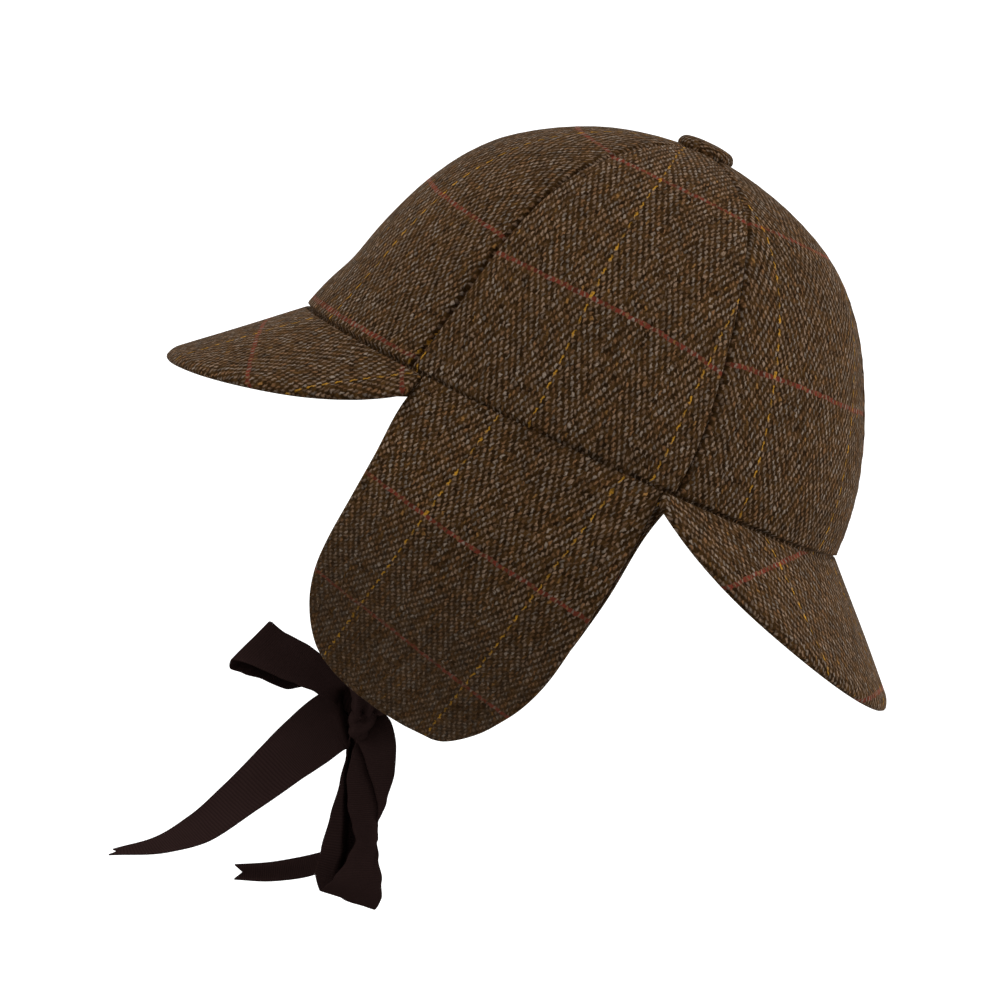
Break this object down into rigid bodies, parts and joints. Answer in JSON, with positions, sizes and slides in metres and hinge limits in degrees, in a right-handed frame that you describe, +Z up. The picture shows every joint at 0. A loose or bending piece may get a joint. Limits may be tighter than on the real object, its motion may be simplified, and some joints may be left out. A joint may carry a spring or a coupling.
{
  "type": "deerstalker hat",
  "caption": "Tweed deerstalker hat with a panelled crown, covered button, front and back visors and ear flaps tied down under the chin with a ribbon bow.",
  "frame": {"origin": "middle of the head opening, in the plane of the rim seam, where the hat sits on a head", "axes": "+Z up through the button, -Y the way the wearer faces, +X towards the wearer's left ear"},
  "size_m": [0.168, 0.2875, 0.3234],
  "materials": {
    "tweed": "brown herringbone wool tweed with a fine red and yellow overcheck",
    "ribbon": "dark brown grosgrain ribbon with a faint satin sheen"
  },
  "bodies": {
    "root": {"crown_panel_front_left": "tweed", "crown_panel_left": "tweed", "crown_panel_back_left": "tweed", "crown_panel_back_right": "tweed", "crown_panel_right": "tweed", "crown_panel_front_right": "tweed", "top_button": "tweed", "visor_front": "tweed", "visor_back": "tweed", "ear_flap_left": "tweed", "ear_flap_right": "tweed", "tie_left": "ribbon", "tie_right": "ribbon", "bow_knot": "ribbon", "bow_loop_front": "ribbon", "bow_loop_low": "ribbon", "bow_tail_front": "ribbon", "bow_tail_low": "ribbon"}
  },
  "joints": []
}
